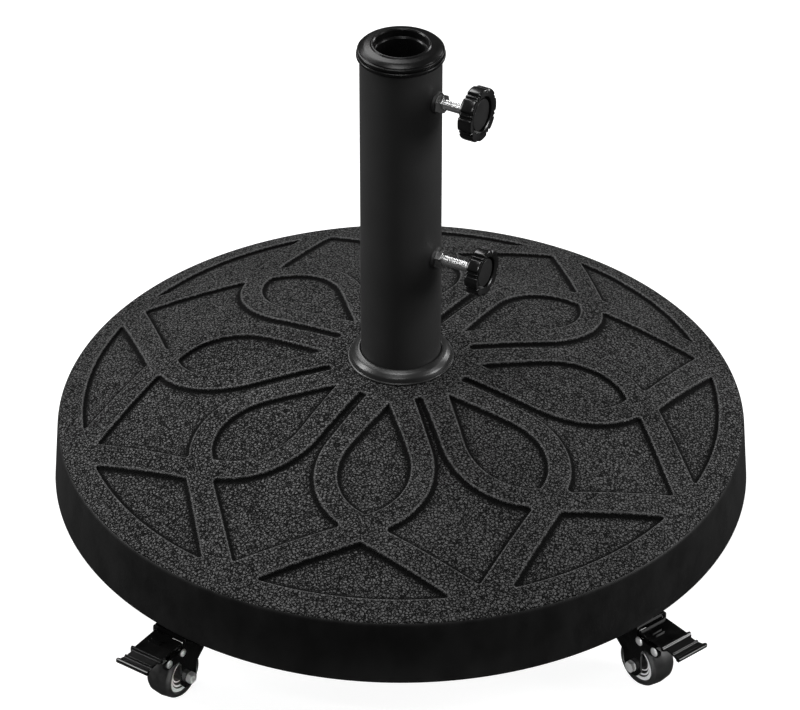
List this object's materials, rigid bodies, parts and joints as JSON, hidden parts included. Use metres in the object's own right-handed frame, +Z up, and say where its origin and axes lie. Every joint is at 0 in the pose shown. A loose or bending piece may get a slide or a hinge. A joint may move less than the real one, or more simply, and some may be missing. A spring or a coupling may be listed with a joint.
{
  "type": "parasol base",
  "caption": "Round domed parasol base with a ribbed petal pattern, a short pole tube with a cap and two hand-screw clamps, on small braked swivel casters.",
  "frame": {"origin": "on the floor under the pole's axis, which is the middle of the box's underside", "axes": "+Z up along the pole's axis, -Y the front that the picture shows, +X to the right"},
  "size_m": [0.5284, 0.5284, 0.4466],
  "materials": {
    "black_resin": "pebbled matt resin over a concrete fill",
    "powder_coat": "matt black powder coat",
    "gloss_enamel": "gloss black",
    "gloss_plastic": "gloss black",
    "knob_plastic": "satin black",
    "zinc": "bright zinc plate",
    "fork_enamel": "semi-gloss black",
    "tyre": "matt dark grey rubber",
    "hub": "satin silver"
  },
  "bodies": {
    "base": {"weight_disc": "black_resin", "pole_tube": "powder_coat", "foot_ring": "gloss_enamel", "end_plug": "zinc", "centre_bolt": "zinc", "top_cap": "gloss_plastic", "reducer_sleeve": "gloss_plastic", "upper_weld_nut": "zinc", "lower_weld_nut": "zinc", "front_left_insert": "zinc", "front_left_stem": "zinc", "front_right_insert": "zinc", "front_right_stem": "zinc", "back_right_insert": "zinc", "back_right_stem": "zinc", "back_left_insert": "zinc", "back_left_stem": "zinc"},
    "upper_clamp_slide": {"upper_clamp_pad": "knob_plastic"},
    "upper_clamp_turn": {"upper_clamp_bolt": "zinc", "upper_knob": "knob_plastic", "upper_knob_cap": "gloss_plastic"},
    "lower_clamp_slide": {"lower_clamp_pad": "knob_plastic"},
    "lower_clamp_turn": {"lower_clamp_bolt": "zinc", "lower_knob": "knob_plastic", "lower_knob_cap": "gloss_plastic"},
    "front_left_swivel": {"front_left_fork": "fork_enamel", "front_left_axle_bolt": "zinc", "front_left_axle_nut": "zinc", "front_left_pivot_pin": "zinc", "front_left_stop_pin": "zinc"},
    "front_left_wheel": {"front_left_tyre": "tyre", "front_left_hub": "hub"},
    "front_left_brake": {"front_left_brake_pedal": "fork_enamel"},
    "front_right_swivel": {"front_right_fork": "fork_enamel", "front_right_axle_bolt": "zinc", "front_right_axle_nut": "zinc", "front_right_pivot_pin": "zinc", "front_right_stop_pin": "zinc"},
    "front_right_wheel": {"front_right_tyre": "tyre", "front_right_hub": "hub"},
    "front_right_brake": {"front_right_brake_pedal": "fork_enamel"},
    "back_right_swivel": {"back_right_fork": "fork_enamel", "back_right_axle_bolt": "zinc", "back_right_axle_nut": "zinc", "back_right_pivot_pin": "zinc", "back_right_stop_pin": "zinc"},
    "back_right_wheel": {"back_right_tyre": "tyre", "back_right_hub": "hub"},
    "back_right_brake": {"back_right_brake_pedal": "fork_enamel"},
    "back_left_swivel": {"back_left_fork": "fork_enamel", "back_left_axle_bolt": "zinc", "back_left_axle_nut": "zinc", "back_left_pivot_pin": "zinc", "back_left_stop_pin": "zinc"},
    "back_left_wheel": {"back_left_tyre": "tyre", "back_left_hub": "hub"},
    "back_left_brake": {"back_left_brake_pedal": "fork_enamel"}
  },
  "joints": [
    {"name": "upper_clamp_feed", "type": "slide", "parent": "base", "child": "upper_clamp_slide", "axis": [0.8746, -0.4848, 0], "range_m": [-0.00051, 0.00551]},
    {"name": "upper_knob_turn", "type": "hinge", "parent": "upper_clamp_slide", "child": "upper_clamp_turn", "pos_m": [0.04373, -0.02424, 0.4056], "axis": [0.8746, -0.4848, 0], "range_deg": [-144, 1584]},
    {"name": "lower_clamp_feed", "type": "slide", "parent": "base", "child": "lower_clamp_slide", "axis": [0.8746, -0.4848, 0], "range_m": [-0.00151, 0.00451]},
    {"name": "lower_knob_turn", "type": "hinge", "parent": "lower_clamp_slide", "child": "lower_clamp_turn", "pos_m": [0.04373, -0.02424, 0.2721], "axis": [0.8746, -0.4848, 0], "range_deg": [-432, 1296]},
    {"name": "front_left_swivel_turn", "type": "hinge", "parent": "base", "child": "front_left_swivel", "pos_m": [-0.15709, -0.16786, 0.0558], "axis": [0, 0, 1], "continuous": true},
    {"name": "front_left_wheel_spin", "type": "hinge", "parent": "front_left_swivel", "child": "front_left_wheel", "pos_m": [-0.16793, -0.18347, 0.0204], "axis": [0.8211, -0.5707, 0], "continuous": true},
    {"name": "front_left_brake_press", "type": "hinge", "parent": "front_left_swivel", "child": "front_left_brake", "pos_m": [-0.17152, -0.18864, 0.0471], "axis": [0.8211, -0.5707, 0], "range_deg": [0, 8]},
    {"name": "front_right_swivel_turn", "type": "hinge", "parent": "base", "child": "front_right_swivel", "pos_m": [0.17004, -0.15473, 0.0558], "axis": [0, 0, 1], "continuous": true},
    {"name": "front_right_wheel_spin", "type": "hinge", "parent": "front_right_swivel", "child": "front_right_wheel", "pos_m": [0.18213, -0.16939, 0.0204], "axis": [0.7716, 0.6361, 0], "continuous": true},
    {"name": "front_right_brake_press", "type": "hinge", "parent": "front_right_swivel", "child": "front_right_brake", "pos_m": [0.18613, -0.17425, 0.0471], "axis": [0.7716, 0.6361, 0], "range_deg": [0, 8]},
    {"name": "back_right_swivel_turn", "type": "hinge", "parent": "base", "child": "back_right_swivel", "pos_m": [0.15591, 0.16896, 0.0558], "axis": [0, 0, 1], "continuous": true},
    {"name": "back_right_wheel_spin", "type": "hinge", "parent": "back_right_swivel", "child": "back_right_wheel", "pos_m": [0.16761, 0.18393, 0.0204], "axis": [-0.788, 0.6157, 0], "continuous": true},
    {"name": "back_right_brake_press", "type": "hinge", "parent": "back_right_swivel", "child": "back_right_brake", "pos_m": [0.17148, 0.18889, 0.0471], "axis": [-0.788, 0.6157, 0], "range_deg": [0, 8]},
    {"name": "back_left_swivel_turn", "type": "hinge", "parent": "base", "child": "back_left_swivel", "pos_m": [-0.16896, 0.15591, 0.0558], "axis": [0, 0, 1], "continuous": true},
    {"name": "back_left_wheel_spin", "type": "hinge", "parent": "back_left_swivel", "child": "back_left_wheel", "pos_m": [-0.18142, 0.17025, 0.0204], "axis": [-0.7547, -0.6561, 0], "continuous": true},
    {"name": "back_left_brake_press", "type": "hinge", "parent": "back_left_swivel", "child": "back_left_brake", "pos_m": [-0.18555, 0.175, 0.0471], "axis": [-0.7547, -0.6561, 0], "range_deg": [0, 8]}
  ],
  "couplings": [
    {"joint": "upper_clamp_feed", "follows": "upper_knob_turn", "m_per_rad": 0.00019894},
    {"joint": "lower_clamp_feed", "follows": "lower_knob_turn", "m_per_rad": 0.00019894}
  ]
}
